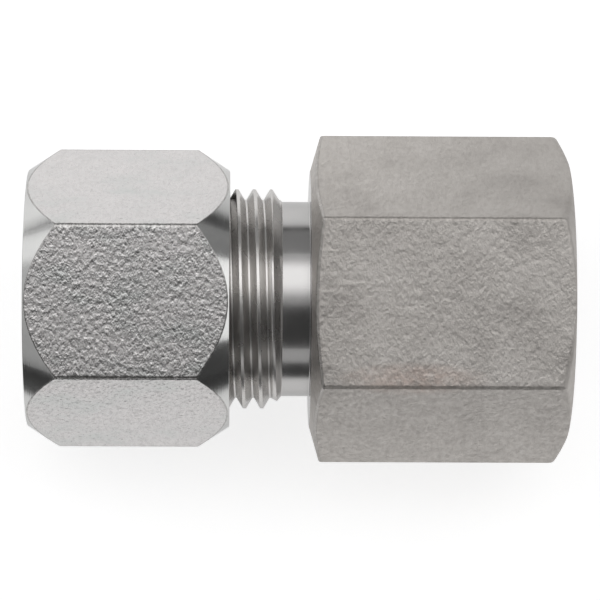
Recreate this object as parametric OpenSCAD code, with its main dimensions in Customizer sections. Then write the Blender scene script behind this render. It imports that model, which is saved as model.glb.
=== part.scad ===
// Flareless bite adapter: hexagon body with a threaded stub and a pipe port, tube nut, cutting ring.
// Millimetres. The flow axis is X: the nut is towards -X, the pipe port towards +X, and Z is up.

/* [Tube] */
// Outside diameter of the tube that the fitting grips
tube_d = 19.05; // [15:0.05:25]
// Clearance on the diameter between the tube and its socket in the body
socket_clearance = 0.1; // [0.06:0.01:0.2]
// Clearance on the diameter between the tube and the cutting ring
ring_clearance = 0.15; // [0.06:0.01:0.3]
// Clearance on the diameter between the tube and the nut
nut_hole_clearance = 0.5; // [0.4:0.01:0.6]

/* [Thread of stub and nut] */
// Wall of the stub from the tube to the thread's crests
stub_wall = 3.97; // [3.2:0.01:5]
// Distance from one crest to the next (12 to the inch)
thread_pitch = 2.1167; // [1.5:0.0001:2.6]
// Angle of each flank from the plane across the axis
flank_angle = 30; // [25:1:32]
// Distance from the hexagon to a crest on the +Y side
crest_place = 8.92; // [7:0.01:11]
// Clearance between the flanks, square to them
flank_clearance = 0.07; // [0.05:0.01:0.1]
// Radial clearance between the stub's crests and the nut's grooves
crest_clearance = 0.11; // [0.08:0.01:0.2]
// Radial clearance between the nut's crests and the stub's grooves
root_clearance = 0.155; // [0.08:0.005:0.25]
// Facets in one turn of the thread
thread_facets = 48; // [24:1:60]

/* [Threaded stub] */
// Length of the stub from the hexagon to its nose
stub_length = 22.35; // [19:0.05:27]
// Length of the plain neck next to the hexagon
neck_length = 3.4; // [2.5:0.1:4.5]
// Depth of the neck below the bottom of the thread
neck_undercut = 0.24; // [0.15:0.01:0.4]
// Rise of the thread's run-out at the neck, from the axis
runout_angle = 52; // [30:1:60]
// Slope of the chamfer on the nose, from the axis
nose_angle = 45; // [30:1:55]
// Depth of the nose chamfer below the neck
nose_drop = 0.35; // [0.2:0.01:0.5]

/* [Tube seat] */
// Half angle of the conical seat
seat_angle = 12; // [10:0.5:14]
// Length of the conical seat
seat_length = 7.17; // [6:0.01:8.5]
// Length of the plain socket between the seat and the tube stop
socket_length = 3.8; // [3:0.1:5]
// Diameter of the passage through the body
passage_d = 15.5; // [12:0.1:18.4]

/* [Hexagon body] */
// Height of the hexagon's flats above the thread's crests
body_step = 3.9675; // [3.3:0.0005:5]
// Length of the hexagon
body_length = 31.5; // [28:0.1:38]
// Chamfer at the neck end, from the end face
neck_chamfer_angle = 16; // [10:1:25]
// Distance of the neck end's face circle inside the flats
neck_face_inset = 1.9; // [0.5:0.05:2.8]
// Chamfer at the port end, from the end face
port_chamfer_angle = 27; // [20:1:40]
// Distance of the port end's face circle inside the flats
port_face_inset = 0.15; // [0.05:0.01:1.1]

/* [Pipe port] */
// Diameter of the tapping hole
port_d = 23.42; // [19:0.01:26]
// Depth of the tapping hole
port_depth = 20.5; // [17:0.1:25]
// Width of the chamfer at the port's mouth
port_mouth = 2.2; // [1:0.1:2.5]
// Angle of the chamfer at the port's mouth, from the axis
port_mouth_angle = 45; // [30:1:60]
// Half angle of the drill's point at the port's floor
drill_point_angle = 59; // [55:1:70]

/* [Nut] */
// Height of the nut's flats above the stub's crests
nut_wall = 2.38; // [2:0.01:3.2]
// Length of the nut
nut_length = 24.7; // [22:0.1:29]
// Chamfer of both ends, from the axis
nut_chamfer_angle = 33; // [28:1:45]
// Distance of the face circles inside the flats
nut_face_inset = 0.15; // [0.05:0.01:0.6]
// Amount turned off the hexagon's corners
nut_corner_trim = 0.08; // [0.02:0.01:0.4]
// Length of the plain hole for the tube
tube_land = 5.6; // [4.5:0.1:6.5]
// Chamfer where the tube enters the nut
tube_chamfer = 0.6; // [0.3:0.1:1]
// Slope of the shoulder that presses the ring, from the axis
shoulder_angle = 45; // [40:1:50]
// Length of the plain pocket around the ring
pocket_length = 2.2; // [1.8:0.1:2.7]
// Width of the groove between the pocket and the thread
groove_width = 1; // [0.8:0.1:1.3]
// Chamfer at the nut's mouth
mouth_chamfer = 0.35; // [0.2:0.01:0.5]

/* [Cutting ring] */
// Length of the ring
ring_length = 9.5; // [8.5:0.1:11]
// Thickness of the ring's collar
ring_wall = 2; // [1.7:0.05:2.3]
// Thickness of the ring's nose
nose_wall = 0.7; // [0.55:0.01:0.9]
// Length of the tapered nose
nose_length = 3.9; // [3.6:0.1:4.6]
// Thickness of the ring at its rear edge
rear_wall = 0.3; // [0.2:0.01:0.5]
// Depth of the grooves behind the cutting edges
bite_depth = 0.3; // [0.2:0.01:0.4]
// Width of each cutting edge and of the groove behind it
bite_width = 0.9; // [0.7:0.01:1.1]
// Clearance of the ring to the seat and to the shoulder, square to them
seat_clearance = 0.1; // [0.05:0.01:0.2]

/* [Hidden] */
turn_facets = round(thread_facets);
smooth = 96;

// Thread: crests an eighth of the pitch wide, depth by the usual share of the pitch
crest_r = tube_d / 2 + stub_wall;
thread_depth = 0.6134 * thread_pitch;
crest_half = thread_pitch / 16;
root_r = crest_r - thread_depth;
neck_r = root_r - neck_undercut;
skin = 0.05;

// Radii that the tube decides
socket_r = (tube_d + socket_clearance) / 2;
mouth_r = socket_r + seat_length * tan(seat_angle);
ring_bore_r = (tube_d + ring_clearance) / 2;
collar_r = ring_bore_r + ring_wall;
nose_r = ring_bore_r + nose_wall;
rear_r = ring_bore_r + rear_wall;
nut_hole_r = (tube_d + nut_hole_clearance) / 2;
nut_minor_r = root_r + root_clearance;
nut_major_r = crest_r + crest_clearance;
nut_groove_r = nut_major_r + skin;

// Hexagons
body_flat = crest_r + body_step;
nut_flat = crest_r + nut_wall;

// Places along the axis from the hexagon's neck end, before centring
nose_end = -stub_length;
ring_front = nose_end + (mouth_r - nose_r - seat_clearance / cos(seat_angle)) / tan(seat_angle);
ring_rear = ring_front - ring_length;
shoulder_end = ring_rear - seat_clearance / sin(shoulder_angle)
    - (rear_r - nut_hole_r) / tan(shoulder_angle);
nut_back = shoulder_end - tube_land;
middle = (nut_back + body_length) / 2;
crest_at = -crest_place;

// Distance along the axis from x to the nearest crest, so many turns round from +Y
function from_crest(x, turns) =
    let (t = (x - crest_at) / thread_pitch - turns) (t - round(t)) * thread_pitch;

// Radius of the thread's flank at u from a crest's middle, raised for clearance and cut to low and high
function flank_r(u, raise, low, high) =
    max(low, min(high, crest_r + raise - (abs(u) - crest_half) / tan(flank_angle)));

// A point at x along the axis, so many turns round from +Y towards +Z
function at(x, turns, r) = [-r * sin(360 * turns), r * cos(360 * turns), x];

// A threaded tube from x_a to x_b: the thread on one side, a plain wall at wall_r on the other
module threaded_tube(x_a, x_b, raise, low, high, end_r, angle_a, angle_b, wall_r) {
    outside = wall_r < low;
    n = turn_facets;
    top_half = crest_half + (crest_r + raise - high) * tan(flank_angle);
    low_half = crest_half + (crest_r + raise - low) * tan(flank_angle);
    edges = [-low_half, -top_half, top_half, low_half];
    first = floor((x_a - crest_at) / thread_pitch) - 2;
    last = ceil((x_b - crest_at) / thread_pitch) + 1;
    rows = [for (k = [first:last], e = edges) crest_at + k * thread_pitch + e];
    m = len(rows);
    function lead(x) = min((x - x_a) * tan(angle_a), (x_b - x) * tan(angle_b));
    function cut_r(r, x) = outside ? min(r, end_r + lead(x)) : max(r, end_r - lead(x));
    function corner(i, j) =
        let (t = i / n, x = max(x_a, min(x_b, rows[j] + t * thread_pitch)))
        at(x, t, cut_r(flank_r(from_crest(x, t), raise, low, high), x));
    // The last column joins the first one a whole pitch, so four rows, further on
    function spot(i, j) = i < n ? i * m + j : min(j + len(edges), m - 1);
    function wall_a(i) = n * m + i % n;
    function wall_b(i) = n * m + n + i % n;
    quads = concat(
        [for (i = [0:n - 1], j = [0:m - 2]) [spot(i, j), spot(i, j + 1), spot(i + 1, j + 1), spot(i + 1, j)]],
        [for (i = [0:n - 1]) [wall_a(i), spot(i, 0), spot(i + 1, 0), wall_a(i + 1)]],
        [for (i = [0:n - 1]) [spot(i, m - 1), wall_b(i), wall_b(i + 1), spot(i + 1, m - 1)]],
        [for (i = [0:n - 1]) [wall_b(i), wall_a(i), wall_a(i + 1), wall_b(i + 1)]]);
    corners = concat(
        [for (i = [0:n - 1], j = [0:m - 1]) corner(i, j)],
        [for (i = [0:n - 1]) at(x_a, i / n, wall_r)],
        [for (i = [0:n - 1]) at(x_b, i / n, wall_r)]);
    polyhedron(corners, [for (q = quads, k = [1, 2])
        outside ? [q[0], q[k], q[k + 1]] : [q[0], q[k + 1], q[k]]]);
}

// Turns the pieces, drawn along Z from the hexagon's neck end, into the row's frame
module placed() {
    rotate([0, 90, 0]) translate([0, 0, -middle]) children();
}

// A solid of revolution from [radius, place] pairs
module turned(outline) {
    rotate_extrude($fn = smooth) polygon(outline);
}

// A hexagonal bar with its flats level and its ends chamfered by a turned outline
module hexagon(flat, x_a, x_b, inset_a, slope_a, inset_b, slope_b, trim) {
    corner_r = flat / cos(30);
    top_r = corner_r - trim;
    intersection() {
        translate([0, 0, x_a]) rotate(30) cylinder(h = x_b - x_a, r = corner_r, $fn = 6);
        turned([
            [0, x_a], [flat - inset_a, x_a],
            [top_r, x_a + (top_r - flat + inset_a) * slope_a],
            [top_r, x_b - (top_r - flat + inset_b) * slope_b],
            [flat - inset_b, x_b], [0, x_b]]);
    }
}

module body() color([0.62, 0.61, 0.59]) placed() {
    thread_a = nose_end + (nose_drop + skin) / tan(nose_angle);
    thread_b = -neck_length - skin / tan(runout_angle);
    stop = nose_end + seat_length + socket_length;
    floor_x = body_length - port_depth;
    difference() {
        union() {
            hexagon(body_flat, 0, body_length, neck_face_inset, tan(neck_chamfer_angle),
                port_face_inset, tan(port_chamfer_angle), 0);
            turned([
                [0, nose_end], [neck_r - nose_drop, nose_end],
                [neck_r, nose_end + nose_drop / tan(nose_angle)],
                [neck_r, body_length / 4], [0, body_length / 4]]);
            threaded_tube(thread_a, thread_b, 0, root_r, crest_r, neck_r + skin,
                nose_angle, runout_angle, neck_r - 1);
        }
        // Seat, socket, tube stop and passage
        turned([
            [0, nose_end - 1], [mouth_r + tan(seat_angle), nose_end - 1],
            [socket_r, nose_end + seat_length], [socket_r, stop],
            [passage_d / 2, stop], [passage_d / 2, body_length + 1], [0, body_length + 1]]);
        // Pipe port with its drill point and mouth chamfer
        turned([
            [0, floor_x - port_d / 2 / tan(drill_point_angle)], [port_d / 2, floor_x],
            [port_d / 2, body_length - port_mouth / tan(port_mouth_angle)],
            [port_d / 2 + port_mouth, body_length],
            [port_d / 2 + port_mouth, body_length + 1], [0, body_length + 1]]);
    }
}

module nut() color([0.77, 0.78, 0.77]) placed() {
    nut_mouth = nut_back + nut_length;
    pocket_a = shoulder_end + (nut_minor_r - nut_hole_r) / tan(shoulder_angle);
    groove_a = pocket_a + pocket_length;
    thread_a = groove_a + groove_width;
    thread_b = nut_mouth - mouth_chamfer;
    slope = 1 / tan(nut_chamfer_angle);
    difference() {
        hexagon(nut_flat, nut_back, nut_mouth, nut_face_inset, slope, nut_face_inset, slope,
            nut_corner_trim);
        turned([
            [0, nut_back - 1], [nut_hole_r + tube_chamfer + 1, nut_back - 1],
            [nut_hole_r, nut_back + tube_chamfer], [nut_hole_r, shoulder_end],
            [nut_minor_r, pocket_a], [nut_minor_r, groove_a],
            [nut_groove_r, groove_a], [nut_groove_r, thread_b],
            [nut_groove_r + mouth_chamfer + 1, nut_mouth + 1], [0, nut_mouth + 1]]);
    }
    threaded_tube(thread_a, thread_b, flank_clearance / sin(flank_angle), nut_minor_r, nut_major_r,
        nut_major_r, nose_angle, nose_angle, nut_groove_r + 0.6);
}

module cutting_ring() color([0.55, 0.54, 0.5]) placed() {
    taper_r = nose_r + nose_length * tan(seat_angle);
    groove_r = ring_bore_r + bite_depth;
    turned([
        [groove_r, ring_front], [nose_r, ring_front], [taper_r, ring_front - nose_length],
        [collar_r, ring_front - nose_length - (collar_r - taper_r)],
        [collar_r, ring_rear + (collar_r - rear_r) / tan(shoulder_angle)],
        [rear_r, ring_rear], [ring_bore_r, ring_rear],
        [ring_bore_r, ring_front - 3 * bite_width],
        [groove_r, ring_front - 2.5 * bite_width], [groove_r, ring_front - 2 * bite_width],
        [ring_bore_r, ring_front - 2 * bite_width],
        [ring_bore_r, ring_front - 1.5 * bite_width],
        [groove_r, ring_front - bite_width], [groove_r, ring_front]]);
}

body();
nut();
cutting_ring();
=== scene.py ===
import math

import bmesh
import bpy
import numpy as np
from mathutils import Matrix, Vector


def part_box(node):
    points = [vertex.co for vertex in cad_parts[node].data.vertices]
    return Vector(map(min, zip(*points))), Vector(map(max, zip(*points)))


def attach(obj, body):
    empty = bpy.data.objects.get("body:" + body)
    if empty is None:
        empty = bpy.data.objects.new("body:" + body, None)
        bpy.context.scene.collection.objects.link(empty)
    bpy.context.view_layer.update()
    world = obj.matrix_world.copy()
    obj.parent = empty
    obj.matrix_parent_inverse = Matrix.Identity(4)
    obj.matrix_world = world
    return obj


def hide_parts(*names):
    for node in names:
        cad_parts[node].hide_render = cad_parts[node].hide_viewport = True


# Flareless bite adapter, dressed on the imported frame.
# Sizes below are in millimetres, and points are written to the meshes in metres.
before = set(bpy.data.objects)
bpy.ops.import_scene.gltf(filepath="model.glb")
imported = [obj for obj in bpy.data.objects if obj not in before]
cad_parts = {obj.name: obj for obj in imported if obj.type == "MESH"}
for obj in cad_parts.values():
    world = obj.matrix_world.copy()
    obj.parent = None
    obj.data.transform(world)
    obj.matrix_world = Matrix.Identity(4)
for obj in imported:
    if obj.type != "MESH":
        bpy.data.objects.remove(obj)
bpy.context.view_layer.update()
mm = 0.001
bodyLow, bodyHigh = (np.array(corner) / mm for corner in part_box("body"))
nutLow, nutHigh = (np.array(corner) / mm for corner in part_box("nut"))
ringLow, ringHigh = (np.array(corner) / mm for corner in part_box("cutting_ring"))


# Shapes

def tand(degrees):
    return math.tan(math.radians(degrees))


def columns(onFlat=13, onCorner=6, cornerTurn=1.6):
    # Angles from +Y about +X in turns, 0 to 1: closest at the six corners, even on the flats
    near = cornerTurn * np.linspace(0, 1, onCorner + 1) ** 1.4
    middle = np.linspace(cornerTurn, 60 - cornerTurn, onFlat + 1)[1:-1]
    side = np.concatenate([near, middle, (60 - near[::-1])])[:-1]
    return np.append((side[None, :] + 60 * np.arange(6)[:, None]).ravel(), 360) / 360


def hexRadius(turns, flat, cornerRound):
    # flat / cos(angle from the flat's middle), and at a corner the arc of a circle of cornerRound
    # whose middle lies (flat - cornerRound) / cos 30 out:  r = d cos a + sqrt(c^2 - d^2 sin^2 a)
    away = np.abs((turns * 360 + 30) % 60 - 30)
    out = (flat - cornerRound) / math.cos(math.radians(30))
    reach = 30 - math.degrees(math.atan(out * 0.5 / flat))
    angle = np.radians(np.minimum(away, reach))
    arc = out * np.cos(angle) + np.sqrt(np.maximum(cornerRound**2 - (out * np.sin(angle)) ** 2, 0))
    return np.where(away < reach, arc, flat / np.cos(np.radians(30 - away)))


def softPath(corners, turns, steps=4, hold=0.35):
    # A path of (x, r, round) corners, each bent by the curve p + t ((1-w)^2 u + w^2 v), w from 0 to 1,
    # where u and v point to its neighbours and t is the round's tangent length. A held row on each side
    # of a bend keeps the straight stretch's shading flat.
    ones = np.ones_like(turns)
    x = np.array([corner[0] * ones for corner in corners])
    r = np.array([corner[1] * ones for corner in corners])
    path = np.stack([x, r], -1)
    back = path[:-2] - path[1:-1]
    ahead = path[2:] - path[1:-1]
    backLength = np.linalg.norm(back, axis=-1, keepdims=True)
    aheadLength = np.linalg.norm(ahead, axis=-1, keepdims=True)
    back, ahead = back / backLength, ahead / aheadLength
    cosine = np.clip((back * ahead).sum(-1, keepdims=True), -0.9999, 0.9999)
    rounds = np.array([corner[2] for corner in corners[1:-1]])[:, None, None]
    tangent = rounds * np.sqrt((1 + cosine) / (1 - cosine))
    tangent = np.minimum(tangent, 0.42 * np.minimum(backLength, aheadLength))
    w = np.linspace(0, 1, steps + 1)[None, :, None, None]
    bend = path[1:-1, None] + tangent[:, None] * ((1 - w) ** 2 * back[:, None] + w**2 * ahead[:, None])
    extra = np.minimum(hold * tangent, 0.05 * np.minimum(backLength, aheadLength))
    first = bend[:, :1] + extra[:, None] * back[:, None]
    last = bend[:, -1:] + extra[:, None] * ahead[:, None]
    rows = np.concatenate([first, bend, last], 1).reshape(-1, len(turns), 2)
    rows = np.concatenate([path[:1], rows, path[-1:]])
    return rows[..., 0], rows[..., 1]


def threadForm(pitch, low, high, topHalf, lowHalf, rounding, steps=3):
    # One pitch of a thread as (u, r): flat crest, straight flanks and flat root with bent corners
    half = pitch / 2
    corners = [(-half, low, 0), (-lowHalf, low, rounding), (-topHalf, high, rounding),
               (topHalf, high, rounding), (lowHalf, low, rounding), (half, low, 0)]
    u, r = softPath(corners, np.zeros(1), steps)
    return u[:-1, 0], r[:-1, 0]


def helixRows(turns, xStart, xEnd, pitch, crestAt, form, taper=0.0):
    # Rows of a right-hand thread: x = crestAt + pitch (turns + k) + u, held between xStart and xEnd,
    # and r = form(u) + taper (x - xEnd)
    u, r = form
    first = math.floor((xStart - crestAt) / pitch) - 2
    last = math.ceil((xEnd - crestAt) / pitch) + 1
    offsets = (np.arange(first, last + 1)[:, None] * pitch + u[None, :]).ravel()
    x = np.clip(crestAt + offsets[:, None] + pitch * turns[None, :], xStart, xEnd)
    phase = ((x - crestAt) / pitch - turns[None, :] + 0.5) % 1.0 - 0.5
    radius = np.interp(phase * pitch, np.append(u, pitch / 2), np.append(r, r[0]))
    return x, radius + taper * (x - xEnd)


def cornerShare(turns, width=0.75):
    # 1 within so many degrees of a hexagon's corner, else 0
    return (np.abs((turns * 360 + 30) % 60 - 30) < width) * 1.0


def wrap(name, turns, parts, bodyName, replaced):
    # parts are (x, r, skin) blocks of rows round a closed loop; a point is (x, r cos a, r sin a)
    x = np.concatenate([part[0] for part in parts])
    r = np.concatenate([part[1] for part in parts])
    skin = np.concatenate([np.broadcast_to(part[2], (len(part[0]), 3)) for part in parts])
    # The corners between the bar's flats get the darkened edge skin too
    skin = np.repeat(skin[:, None], len(turns), 1)
    skin[..., 2] = np.maximum(skin[..., 2], (skin[..., 0] == 1) * cornerShare(turns))
    angle = 2 * np.pi * turns
    points = np.stack([x, r * np.cos(angle), r * np.sin(angle)], -1).reshape(-1, 3) * mm
    rowCount, columnCount = x.shape
    row, column = np.meshgrid(np.arange(rowCount), np.arange(columnCount - 1), indexing="ij")
    ahead = (row + 1) % rowCount
    quads = np.stack([row * columnCount + column, row * columnCount + column + 1,
                      ahead * columnCount + column + 1, ahead * columnCount + column], -1).reshape(-1, 4)
    mesh = bpy.data.meshes.new(name)
    mesh.from_pydata(points, [], quads.tolist())
    kinds = mesh.attributes.new("skin", "FLOAT_VECTOR", "POINT")
    kinds.data.foreach_set("vector", skin.ravel().astype(np.float32))
    work = bmesh.new()
    work.from_mesh(mesh)
    bmesh.ops.remove_doubles(work, verts=work.verts, dist=2e-7)
    bmesh.ops.recalc_face_normals(work, faces=work.faces)
    work.to_mesh(mesh)
    work.free()
    mesh.polygons.foreach_set("use_smooth", np.ones(len(mesh.polygons), bool))
    mesh.update()
    piece = bpy.data.objects.new(name, mesh)
    bpy.context.scene.collection.objects.link(piece)
    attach(piece, bodyName)
    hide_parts(replaced)
    print(name, "made with", len(mesh.polygons), "faces")
    return piece


# The skins that the shaders tell apart: shares of the bar's own flats, of cut thread, and of a darkened edge
turnedSkin, barSkin, threadSkin, edgeSkin = (0, 0, 0), (1, 0, 0), (0, 1, 0), (0.5, 0, 1)
chamferSkin, faintEdgeSkin = (0.9, 0, 0), (0.9, 0, 0.2)
bendRows = 7
turns = columns()


def plainSkins(bends):
    # One skin for each row of a softPath with so many bends, all turned to begin with
    return np.zeros((bends * bendRows + 2, 3))


def middleOf(bend):
    # The rows of a path's bend, counted from 0, without its first and last ones
    return slice(2 + bend * bendRows, 2 + bend * bendRows + bendRows - 2)



# The thread that the stub and the nut share
stubThread = {
    "pitch": 2.1167,
    "crestRadius": 13.495,
    "rootRadius": 12.1966,
    "crestToHexagon": 8.92,
    "flank": 30,
    "crestShare": 1 / 11,
    "crestRound": 0.14,
    "nutCrestGap": 0.11,
    "nutRootGap": 0.155,
    "nutRaise": 0.14,
}

# The body: everything is counted from its hexagon's neck end
bodyDims = {
    "hexLength": 31.5,
    "cornerRound": 0.55,
    "neckFaceInset": 1.9,
    "neckSlope": tand(16),
    "portFaceInset": 0.15,
    "portSlope": tand(24.5),
    "edgeRound": 0.36,
    "portEdgeRound": 0.85,
    "neckRadius": 11.9566,
    "neckLength": 3.4,
    "neckFillet": 0.15,
    "noseRadius": 11.6066,
    "mouthRadius": 11.099,
    "seatLength": 7.17,
    "socketRadius": 9.575,
    "socketLength": 3.8,
    "passageRadius": 7.75,
    "runOut": tand(52),
}

# The pipe port's tapered thread, 14 to the inch on a taper of 1 in 16
portThread = {
    "pitch": 25.4 / 14,
    "depth": 1.40,
    "mouthMajor": 13.28,
    "length": 17.0,
    "drillRadius": 11.71,
    "drillDepth": 20.5,
    "mouthWidth": 2.2,
    "taper": 1 / 32,
    "pointSlope": 1 / tand(59),
    "runOut": 0.35,
}


def makeBody():
    d, t, p = bodyDims, stubThread, portThread
    shoulder = bodyHigh[0] - d["hexLength"]
    portFace = bodyHigh[0]
    nose = bodyLow[0]
    flat = bodyHigh[2]
    side = hexRadius(turns, flat, d["cornerRound"])
    neckFace, portFaceRadius = flat - d["neckFaceInset"], flat - d["portFaceInset"]
    crestHalf = t["pitch"] * t["crestShare"]
    rootHalf = crestHalf + (t["crestRadius"] - t["rootRadius"]) * tand(t["flank"])
    form = threadForm(t["pitch"], t["rootRadius"], t["crestRadius"], crestHalf, rootHalf, t["crestRound"])
    threadStart = nose + d["neckRadius"] - d["noseRadius"] + 0.03
    threadEnd = shoulder - d["neckLength"]
    # From the seat's mouth over the nose
    noseRows = softPath([(nose + 1.2, d["mouthRadius"] - 1.2 * tand(12), 0), (nose, d["mouthRadius"], 0.1),
                         (nose, d["noseRadius"], 0.08), (threadStart, d["neckRadius"], 0)], turns)
    tx, tr = helixRows(turns, threadStart, threadEnd, t["pitch"], shoulder - t["crestToHexagon"], form)
    tr = np.minimum(tr, d["neckRadius"] + np.minimum(tx - threadStart, (threadEnd - tx) * d["runOut"]))
    neckStart = threadEnd + 0.06
    neckRows = softPath([(neckStart, d["neckRadius"], 0), (shoulder, d["neckRadius"], d["neckFillet"]),
                         (shoulder, neckFace, 0.6),
                         (shoulder + (side - neckFace) * d["neckSlope"], side, d["edgeRound"]),
                         (shoulder + d["hexLength"] / 2, side, 0)], turns)
    portEdge = portFace - (side - portFaceRadius) * d["portSlope"]
    mouthRadius = p["drillRadius"] + p["mouthWidth"]
    portRows = softPath([(shoulder + d["hexLength"] / 2, side, 0), (portEdge, side, d["portEdgeRound"]),
                         (portFace, portFaceRadius, 0.35), (portFace, mouthRadius, 0.12),
                         (portFace - 0.45, mouthRadius - 0.45, 0)], turns)
    # The tapered thread starts in the mouth's cone and runs out on the tapping hole's wall
    major = p["mouthMajor"]
    portCrestHalf = p["pitch"] / 2 - p["pitch"] / 16 - p["depth"] * tand(30)
    portForm = threadForm(p["pitch"], major - p["depth"], major, max(portCrestHalf, 0.03),
                          max(portCrestHalf, 0.03) + p["depth"] * tand(30), 0.05)
    threadMouth = portFace - 0.45
    innerEnd = portFace - p["length"]
    px, pr = helixRows(turns, innerEnd, threadMouth, p["pitch"], portFace - 3.1, portForm, p["taper"])
    pr = np.minimum(pr, p["drillRadius"] + (px - innerEnd) * p["runOut"])
    pr = np.maximum(np.maximum(pr, p["drillRadius"]), mouthRadius - (portFace - px))
    floor = portFace - p["drillDepth"]
    tip = floor - (p["drillRadius"] - d["passageRadius"]) * p["pointSlope"]
    stop = nose + d["seatLength"] + d["socketLength"]
    insideRows = softPath([(innerEnd, p["drillRadius"], 0), (floor, p["drillRadius"], 0.2),
                           (tip, d["passageRadius"], 0.2), (stop, d["passageRadius"], 0.2),
                           (stop, d["socketRadius"], 0.1), (nose + d["seatLength"], d["socketRadius"], 0.1),
                           (nose + 1.2, d["mouthRadius"] - 1.2 * tand(12), 0)], turns)
    # The hexagon's chamfers and flats run from its neck face's bend, the second, to its port face's,
    # the second again; the bends between a chamfer and a flat are darkened edges
    neckSkins, portSkins = plainSkins(3), plainSkins(3)
    neckSkins[middleOf(1).stop:] = chamferSkin
    neckSkins[middleOf(2)] = edgeSkin
    neckSkins[middleOf(2).stop:] = barSkin
    portSkins[:middleOf(1).start] = chamferSkin
    portSkins[middleOf(0)] = faintEdgeSkin
    portSkins[:middleOf(0).start] = barSkin
    endRow = np.array([[threadEnd], [d["neckRadius"]]]) * np.ones_like(turns)
    parts = [(*noseRows, turnedSkin), (tx, tr, threadSkin), (*endRow[:, None], turnedSkin),
             (*neckRows, neckSkins),
             (*portRows, portSkins), (px[::-1], pr[::-1], threadSkin), (*insideRows, turnedSkin)]
    return wrap("bodySkin", turns, parts, "fitting_body", "body")


# The nut: places are counted from its back face, where the tube goes in
nutDims = {
    "faceInset": 0.15,
    "chamferSlope": 1 / tand(33),
    "cornerRound": 0.55,
    "edgeRound": 0.3,
    "holeRadius": 9.775,
    "tubeLand": 5.6,
    "holeChamfer": 0.6,
    "pocketLength": 2.2,
    "grooveWidth": 1.0,
    "grooveRadius": 13.655,
    "mouthChamfer": 0.35,
}


def makeNut():
    d, t = nutDims, stubThread
    back, mouth = nutLow[0], nutHigh[0]
    flat = nutHigh[2]
    side = hexRadius(turns, flat, d["cornerRound"])
    face = flat - d["faceInset"]
    middle = (back + mouth) / 2
    minor, major = t["rootRadius"] + t["nutRootGap"], t["crestRadius"] + t["nutCrestGap"]
    crestHalf = t["pitch"] / 16
    topHalf = crestHalf + (t["crestRadius"] + t["nutRaise"] - major) * tand(t["flank"])
    lowHalf = crestHalf + (t["crestRadius"] + t["nutRaise"] - minor) * tand(t["flank"])
    form = threadForm(t["pitch"], minor, major, topHalf, lowHalf, 0.06)
    shoulderEnd = back + d["tubeLand"]
    pocket = shoulderEnd + minor - d["holeRadius"]
    groove = pocket + d["pocketLength"]
    threadStart, threadEnd = groove + d["grooveWidth"], mouth - d["mouthChamfer"]
    outer = softPath([(back, d["holeRadius"] + d["holeChamfer"] + 0.6, 0), (back, face, 0.15),
                      (back + (side - face) * d["chamferSlope"], side, d["edgeRound"]),
                      (mouth - (side - face) * d["chamferSlope"], side, d["edgeRound"]),
                      (mouth, face, 0.15), (mouth, d["grooveRadius"] + d["mouthChamfer"], 0.1),
                      (threadEnd, d["grooveRadius"], 0)], turns)
    crestAt = bodyHigh[0] - bodyDims["hexLength"] - t["crestToHexagon"]
    tx, tr = helixRows(turns, threadStart, threadEnd, t["pitch"], crestAt, form)
    tr = np.maximum(tr, major - np.minimum(tx - threadStart, threadEnd - tx))
    inner = softPath([(threadStart, d["grooveRadius"], 0), (groove, d["grooveRadius"], 0.1),
                      (groove, minor, 0.1), (pocket, minor, 0.3), (shoulderEnd, d["holeRadius"], 0.2),
                      (back + d["holeChamfer"], d["holeRadius"], 0.2),
                      (back, d["holeRadius"] + d["holeChamfer"], 0.15),
                      (back, d["holeRadius"] + d["holeChamfer"] + 0.6, 0)], turns)
    # The bar's flats lie between the chamfers, from the second bend to the third
    skins = plainSkins(5)
    skins[middleOf(1).stop:middleOf(2).start] = barSkin
    skins[middleOf(1)] = edgeSkin
    skins[middleOf(2)] = edgeSkin
    parts = [(*outer, skins), (tx[::-1], tr[::-1], threadSkin), (*inner, turnedSkin)]
    return wrap("nutSkin", turns, parts, "tube_nut", "nut")


# The cutting ring: places are counted back from its nose
ringDims = {
    "boreRadius": 9.6,
    "noseRadius": 10.3,
    "noseLength": 3.9,
    "taper": tand(12),
    "collarRadius": 11.6,
    "rearRadius": 9.9,
    "grooveRadius": 9.9,
    "biteWidth": 0.9,
}


def makeRing():
    d = ringDims
    front, rear = ringHigh[0], ringLow[0]
    taperEnd = d["noseRadius"] + d["noseLength"] * d["taper"]
    rise = d["collarRadius"] - taperEnd
    bite = d["biteWidth"]
    rows = softPath([(front, (d["grooveRadius"] + d["noseRadius"]) / 2, 0), (front, d["noseRadius"], 0.12),
                     (front - d["noseLength"], taperEnd, 0.15),
                     (front - d["noseLength"] - rise, d["collarRadius"], 0.15),
                     (rear + d["collarRadius"] - d["rearRadius"], d["collarRadius"], 0.25),
                     (rear, d["rearRadius"], 0.08), (rear, d["boreRadius"], 0.05),
                     (front - 3 * bite, d["boreRadius"], 0.05),
                     (front - 2.5 * bite, d["grooveRadius"], 0.05), (front - 2 * bite, d["grooveRadius"], 0.03),
                     (front - 2 * bite, d["boreRadius"], 0.02), (front - 1.5 * bite, d["boreRadius"], 0.02),
                     (front - bite, d["grooveRadius"], 0.05), (front, d["grooveRadius"], 0.05),
                     (front, (d["grooveRadius"] + d["noseRadius"]) / 2, 0)], turns)
    return wrap("ringSkin", turns, [(*rows, turnedSkin)], "ring", "cutting_ring")


# Finishes

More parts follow.
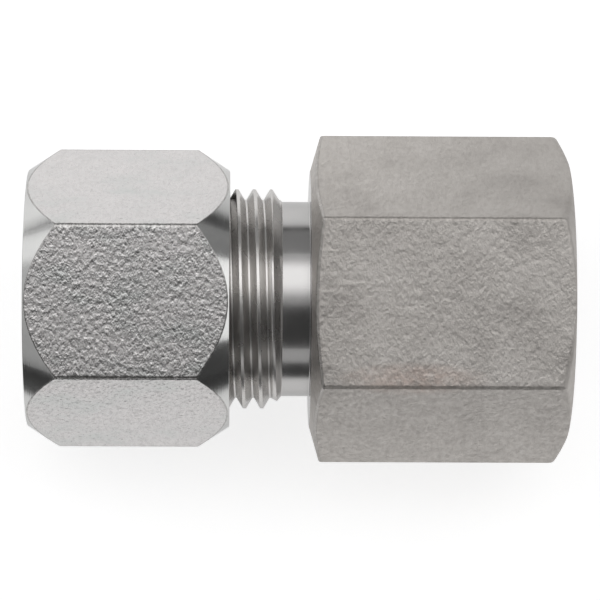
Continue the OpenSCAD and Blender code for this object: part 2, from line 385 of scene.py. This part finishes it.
class Amount:
    # A number in a shader: arithmetic on it adds Math nodes
    def __init__(self, shader, socket):
        self.shader, self.socket = shader, socket

    def combine(self, operation, first, second):
        made = self.shader.node("ShaderNodeMath", {"operation": operation},
                                {0: first, 1: second})
        return Amount(self.shader, made.outputs[0])

    def __add__(self, other):
        return self.combine("ADD", self, other)

    def __sub__(self, other):
        return self.combine("SUBTRACT", self, other)

    def __rsub__(self, other):
        return self.combine("SUBTRACT", other, self)

    def __mul__(self, other):
        return self.combine("MULTIPLY", self, other)

    def __truediv__(self, other):
        return self.combine("DIVIDE", self, other)

    def __pow__(self, other):
        return self.combine("POWER", self, other)

    __radd__, __rmul__ = __add__, __mul__


class Shader:
    # A material's or world's nodes, with one way to add any of them
    def __init__(self, owner):
        owner.use_nodes = True
        self.tree = owner.node_tree
        self.tree.nodes.clear()
        self.places = None

    def node(self, kind, settings=None, sockets=None):
        made = self.tree.nodes.new(kind)
        for key, value in (settings or {}).items():
            if key == "stops":
                while len(made.color_ramp.elements) < len(value):
                    made.color_ramp.elements.new(0.5)
                for element, (place, colour) in zip(made.color_ramp.elements, value):
                    element.position, element.color = place, (*colour, 1)
            else:
                setattr(made, key, value)
        for key, value in (sockets or {}).items():
            value = value.socket if isinstance(value, Amount) else value
            if isinstance(value, bpy.types.NodeSocket):
                self.tree.links.new(value, made.inputs[key])
            else:
                made.inputs[key].default_value = value
        return made

    def noise(self, along, across, detail=3, rough=0.55, shift=0.0):
        # Noise whose grains are so many millimetres long along the axis and across it
        if self.places is None:
            self.places = self.node("ShaderNodeTexCoord").outputs["Object"]
        scale = (1000 / along, 1000 / across, 1000 / across)
        mapped = self.node("ShaderNodeMapping", None, {"Vector": self.places, "Scale": scale,
                                                       "Location": (shift, shift * 0.7, shift * 1.3)})
        made = self.node("ShaderNodeTexNoise", None,
                         {"Vector": mapped.outputs[0], "Scale": 1.0, "Detail": detail, "Roughness": rough})
        return Amount(self, made.outputs["Fac"])

    def ramp(self, value, stops):
        return self.node("ShaderNodeValToRGB", {"stops": stops}, {"Fac": value}).outputs["Color"]

    def level(self, value, low, high, lowOut=0.0, highOut=1.0):
        # A value's place between low and high, held there and given out between lowOut and highOut
        made = self.node("ShaderNodeMapRange", {"clamp": True},
                         {0: value, 1: low, 2: high, 3: lowOut, 4: highOut})
        return Amount(self, made.outputs[0])

    def blend(self, factor, first, second, way="MIX"):
        made = self.node("ShaderNodeMix", {"data_type": "RGBA", "blend_type": way}, {"Factor": factor})
        for place, value in ((6, first), (7, second)):
            if isinstance(value, bpy.types.NodeSocket):
                self.tree.links.new(value, made.inputs[place])
            else:
                made.inputs[place].default_value = (*value, 1)
        return made.outputs[2]


def rustShare(s, rust):
    # 1 - ((x - middle) / reach)^2 summed over X and Y, on the upper side only, broken up by a noise
    places = s.node("ShaderNodeSeparateXYZ", None, {0: s.node("ShaderNodeTexCoord").outputs["Object"]})
    x, y, z = (Amount(s, places.outputs[axis]) for axis in "XYZ")
    x, y = ((value - middle * mm) / (reach * mm) for value, middle, reach in zip((x, y), rust["middle"], rust["reach"]))
    spots = s.level(s.noise(*rust["grain"], 2, 0.6, 9.1), 0.35, 0.65, 0.4, 1)
    return s.level(x * x + y * y, 0, 1, rust["share"], 0) * s.level(z, 0, mm) * spots


def steelFinish(name, look):
    # Metal with skins told apart by the mesh: the bar's gritty flats, cut thread, and turned surfaces with
    # fine rings round the axis. Grit, rings and stains are noises on the object's own coordinates.
    material = bpy.data.materials.new(name)
    s = Shader(material)
    skin = s.node("ShaderNodeAttribute", {"attribute_name": "skin"}).outputs["Vector"]
    parts = s.node("ShaderNodeSeparateXYZ", None, {0: skin})
    bar, thread, edge = (Amount(s, parts.outputs[axis]) for axis in "XYZ")
    bar = s.level(bar, 0.35, 0.65)
    grit = s.noise(*look["grit"], 2, 0.6)
    pits = s.noise(look["grit"][0] * 0.8, look["grit"][1] * 0.72, 2, 0.6, 3.1)
    glints = s.level(s.noise(look["grit"][0] * 0.9, look["grit"][1] * 0.8, 2, 0.6, 7.9), 0.3, 0.7, -1, 1)
    rings = s.noise(0.09, 40, 2, 0.6, 1.7)
    stains = s.noise(*look["stain"], 3, 0.6, 5.3)
    height = bar * (grit + pits * 0.8) * look["gritDepth"] + (1 - bar) * rings * look["ringDepth"]
    bump = s.node("ShaderNodeBump", None, {"Height": height, "Strength": 1.0, "Distance": mm})
    turnedTone = s.blend(s.level(stains, 0.35, 0.65), *look["turnedTones"])
    cutTone = s.blend(thread, turnedTone, look["threadTone"])
    barTone = s.ramp(s.level(stains, 0.32, 0.68), look["barTones"])
    if "rust" in look:
        barTone = s.blend(rustShare(s, look["rust"]), barTone, look["rust"]["tone"])
    # The edge skin paints the colour darker, towards edgeTone, broken up by the pits
    edgeDarkening = edge * look["edgeDark"] * s.level(pits, 0.35, 0.6, 0.4, 1)
    tone = s.blend(edgeDarkening, s.blend(bar, cutTone, barTone), look["edgeTone"])
    gloss = s.level(stains, 0.3, 0.7, -0.04, 0.05)
    cutRough = thread * (look["threadRough"] - look["turnedRough"]) + look["turnedRough"]
    roughness = bar * (glints * look["glint"] + look["barRough"]) + (1 - bar) * cutRough + gloss
    metallic = 1 - bar * (1 - look["barMetal"])
    surface = s.node("ShaderNodeBsdfPrincipled", None,
                     {"Base Color": tone, "Metallic": metallic, "Roughness": roughness,
                      "Specular Tint": (0.75, 0.75, 0.75, 1), "Normal": bump.outputs[0]})
    s.node("ShaderNodeOutputMaterial", None, {"Surface": surface.outputs[0]})
    return material


finishes = {
    "brightZinc": {
        "grit": (0.46, 0.8), "gritDepth": 0.084, "ringDepth": 0.005, "stain": (7, 4),
        "barTones": [(0, (0.585, 0.59, 0.58)), (0.5, (0.64, 0.625, 0.62)), (1, (0.675, 0.655, 0.65))],
        "turnedTones": [(0.57, 0.57, 0.565), (0.635, 0.635, 0.625)], "threadTone": (0.42, 0.41, 0.40),
        "edgeTone": (0.30, 0.29, 0.28), "edgeDark": 0.7,
        "barRough": 0.24, "glint": 0.1, "barMetal": 1.0, "turnedRough": 0.15, "threadRough": 0.3,
    },
    "warmSatin": {
        "grit": (0.6, 1.0), "gritDepth": 0.088, "ringDepth": 0.003, "stain": (7, 7),
        "barTones": [(0, (0.505, 0.477, 0.452)), (0.5, (0.597, 0.567, 0.537)), (1, (0.648, 0.617, 0.587))],
        "rust": {"middle": (13.5, -9.0), "reach": (9.5, 2.1), "grain": (1.2, 0.8), "share": 0.42,
                 "tone": (0.68, 0.49, 0.41)},
        "turnedTones": [(0.47, 0.465, 0.46), (0.52, 0.51, 0.505)], "threadTone": (0.63, 0.615, 0.60),
        "edgeTone": (0.30, 0.28, 0.26), "edgeDark": 0.6,
        "barRough": 0.46, "glint": 0.1, "barMetal": 0.85, "turnedRough": 0.19, "threadRough": 0.26,
    },
    "hardenedRing": {
        "grit": (0.3, 0.3), "gritDepth": 0.01, "ringDepth": 0.004, "stain": (5, 3),
        "barTones": [(0, (0.30, 0.29, 0.27)), (0.5, (0.33, 0.32, 0.30)), (1, (0.36, 0.35, 0.33))],
        "turnedTones": [(0.34, 0.33, 0.30), (0.42, 0.41, 0.38)], "threadTone": (0.3, 0.3, 0.28),
        "edgeTone": (0.2, 0.2, 0.18), "edgeDark": 0.3,
        "barRough": 0.35, "glint": 0.0, "barMetal": 1.0, "turnedRough": 0.24, "threadRough": 0.3,
    },
}

bodySkin, nutSkin, ringSkin = makeBody(), makeNut(), makeRing()
for piece, finish in ((bodySkin, "warmSatin"), (nutSkin, "brightZinc"), (ringSkin, "hardenedRing")):
    piece.data.materials.append(steelFinish(finish, finishes[finish]))
print("finishes made", len(finishes))


# Floor, light and camera

studio = {
    "floorWhite": 0.6,
    "floorGlow": 0.73,
    "sheetMiddle": (-0.13, 0.015),
    "sheetReach": (0.26, 0.13),
    "sheetSkew": 0.5,
    # Painted shade on the sheet that only the metal's reflections see: in front, and towards +X on the +Y side
    "nearShade": 0.1,
    "portShade": 0.24,
    "skyLevels": (0.07, 0.31),
    "lampDistance": 0.9,
    # Each lamp: degrees from straight up, degrees from +X towards +Y, size across and along, and level
    "lamps": {
        "softboxRim": (25, 90, (1.6, 1.06), 0.3),
        "softboxWide": (25, 90, (1.5, 0.84), 0.48),
        "softbox": (26, 90, (1.5, 0.655), 0.54),
        "softboxHeart": (27, 90, (1.4, 0.43), 0.48),
        "strip": (68, -90, (1.3, 0.35), 0.5),
        "portCard": (66, 0, (0.84, 0.29), 1.2),
        "nutCard": (68, 184, (1.4, 0.6), 0.4),
        "nutCornerCard": (80, 140, (0.6, 0.3), 0.5),
    },
}


def makeFloor():
    floor = bodyLow[2] * mm
    reach = 3.0
    mesh = bpy.data.meshes.new("floor")
    mesh.from_pydata([(-reach, -reach, floor), (reach, -reach, floor), (reach, reach, floor),
                      (-reach, reach, floor)], [], [(0, 1, 2, 3)])
    table = bpy.data.objects.new("floor", mesh)
    bpy.context.scene.collection.objects.link(table)
    material = bpy.data.materials.new("palePaper")
    # The metal sees a white sheet of limited size, a skewed ellipse with painted shade in front (-Y) and towards +X on
    # its +Y side, and darker floor beyond it. The camera sees the floor fade to white away from the object
    s = Shader(material)
    white = studio["floorWhite"]
    place = s.node("ShaderNodeSeparateXYZ", None, {0: s.node("ShaderNodeTexCoord").outputs["Object"]})
    along, across = (Amount(s, place.outputs[axis]) for axis in "XY")
    away = s.level(along * along + across * across, 0.02, 0.12, 0, 1 - studio["floorGlow"])
    portShadeMask = s.level(along, -0.01, 0.03, 0, studio["portShade"])
    across = (across + along * studio["sheetSkew"] - studio["sheetMiddle"][1]) / studio["sheetReach"][1]
    along = (along - studio["sheetMiddle"][0]) / studio["sheetReach"][0]
    softness = s.level(across, -0.2, 0.2)
    inside = s.level(along * along + across * across, 0.85 - softness * 0.45, 1.15 + softness * 4, 1, 0)
    # Painted shade: the sheet's glow, as reflections see it, is dimmed in front and towards +X on the +Y side
    shade = s.level(across, -0.4, 0.15, studio["nearShade"], 0) + portShadeMask * softness
    path = s.node("ShaderNodeLightPath")
    glossy = Amount(s, path.outputs["Is Glossy Ray"])
    camera = Amount(s, path.outputs["Is Camera Ray"])
    seen = camera + Amount(s, path.outputs["Is Transmission Ray"]) + glossy
    paper = s.node("ShaderNodeBsdfDiffuse", None, {"Color": (white, white, white, 1)})
    glow = s.node("ShaderNodeEmission", None, {"Color": (1, 1, 1, 1), "Strength": seen * studio["floorGlow"] + camera * away})
    both = s.node("ShaderNodeAddShader", None, {0: paper.outputs[0], 1: glow.outputs[0]})
    dark = s.node("ShaderNodeBsdfDiffuse", None, {"Color": (0.1, 0.1, 0.1, 1)})
    mixed = s.node("ShaderNodeMixShader", None,
                   {0: glossy * (1 - inside * (1 - shade)), 1: both.outputs[0], 2: dark.outputs[0]})
    s.node("ShaderNodeOutputMaterial", None, {"Surface": mixed.outputs[0]})
    mesh.materials.append(material)


def makeWorld():
    world = bpy.data.worlds.new("studio")
    bpy.context.scene.world = world
    s = Shader(world)
    # The room is a little lighter behind the object, towards +Y
    path = s.node("ShaderNodeLightPath")
    way = s.node("ShaderNodeSeparateXYZ", None, {0: s.node("ShaderNodeTexCoord").outputs["Generated"]})
    level = s.level(Amount(s, way.outputs["Y"]), -0.3, 0.6, *studio["skyLevels"])
    sky = s.node("ShaderNodeBackground", None, {"Color": (1, 1, 1, 1), "Strength": level})
    white = s.node("ShaderNodeBackground", None, {"Color": (1, 1, 1, 1), "Strength": 1.0})
    mixed = s.node("ShaderNodeMixShader", None,
                   {0: path.outputs["Is Camera Ray"], 1: sky.outputs[0], 2: white.outputs[0]})
    s.node("ShaderNodeOutputWorld", None, {"Surface": mixed.outputs[0]})


def makeLamp(name, tilt, heading, size, level):
    # A flat lamp that faces the object from tilt degrees off straight up, heading degrees from +X to +Y;
    # its power for a level of radiance is level * pi * area
    lamp = bpy.data.lights.new(name, "AREA")
    lamp.shape, lamp.size, lamp.size_y = "RECTANGLE", size[0], size[1]
    lamp.energy = level * math.pi * size[0] * size[1]
    holder = bpy.data.objects.new(name, lamp)
    lean, turn = math.radians(tilt), math.radians(heading)
    way = Vector((math.sin(lean) * math.cos(turn), math.sin(lean) * math.sin(turn), math.cos(lean)))
    holder.location = way * studio["lampDistance"]
    holder.rotation_euler = way.to_track_quat("Z", "Y").to_euler()
    bpy.context.scene.collection.objects.link(holder)


makeFloor()
makeWorld()
for name, lampSpec in studio["lamps"].items():
    makeLamp(name, *lampSpec)

# The photograph looks nearly straight down, 8.15 px to a millimetre at the axis, from a little towards
# the nut (-X) and behind (+Y)
photo = {"pixelsPerMm": 8.13, "width": 600, "distance": 0.46, "place": (-7.4, 11.2), "aim": (0.36, -0.12),
         "roll": 0.28}
lens = bpy.data.cameras.new("photoCamera")
lens.sensor_width = 36
lens.lens = photo["pixelsPerMm"] / mm * photo["distance"] * lens.sensor_width / photo["width"]
lens.clip_start, lens.clip_end = 0.05, 20
camera = bpy.data.objects.new("photoCamera", lens)
aim = Vector((*photo["aim"], 0)) * mm
camera.location = Vector((*photo["place"], photo["distance"] / mm)) * mm
sight = (camera.location - aim).normalized()
right = Vector((0, 1, 0)).cross(sight).normalized()
upright = Matrix((right, sight.cross(right), sight)).transposed()
camera.rotation_euler = (upright @ Matrix.Rotation(math.radians(photo["roll"]), 3, "Z")).to_euler()
bpy.context.scene.collection.objects.link(camera)
bpy.context.scene.camera = camera
bpy.context.scene.view_settings.view_transform = "Standard"
print("studio ready")

bpy.context.view_layer.update()
